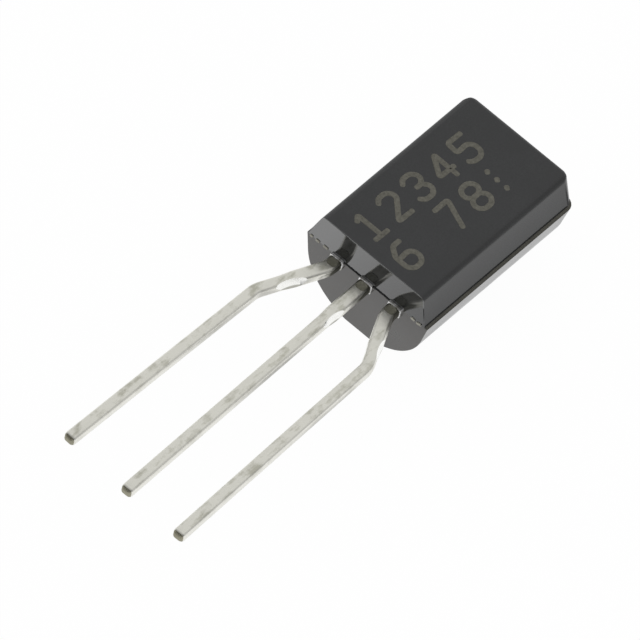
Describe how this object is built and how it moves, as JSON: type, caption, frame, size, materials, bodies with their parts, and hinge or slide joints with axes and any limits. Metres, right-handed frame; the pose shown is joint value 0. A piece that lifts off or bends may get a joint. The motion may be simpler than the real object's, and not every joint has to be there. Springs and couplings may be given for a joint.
{
  "type": "to-92 transistor",
  "caption": "Moulded transistor with a flat marked face and a round back, and a row of leads formed outwards to a wider pitch.",
  "frame": {"origin": "middle of the row of leads where it leaves the body, on the parting plane of the mould", "axes": "+X along the row of leads towards the base lead, +Y along the body away from the leads, +Z out of the flat marked face"},
  "size_m": [0.0061, 0.0222, 0.0047],
  "materials": {
    "epoxy": "moulded black epoxy, finely matt on the marked face and smoother on the end faces",
    "tinned_lead": "tin plating, satin",
    "silicon": "polished",
    "solder": "satin",
    "gold": "polished"
  },
  "bodies": {
    "root": {"package_body": "epoxy", "emitter_lead": "tinned_lead", "collector_lead": "tinned_lead", "base_lead": "tinned_lead", "silicon_die": "silicon", "die_attach": "solder", "emitter_bond_wire": "gold", "base_bond_wire": "gold"}
  },
  "joints": []
}
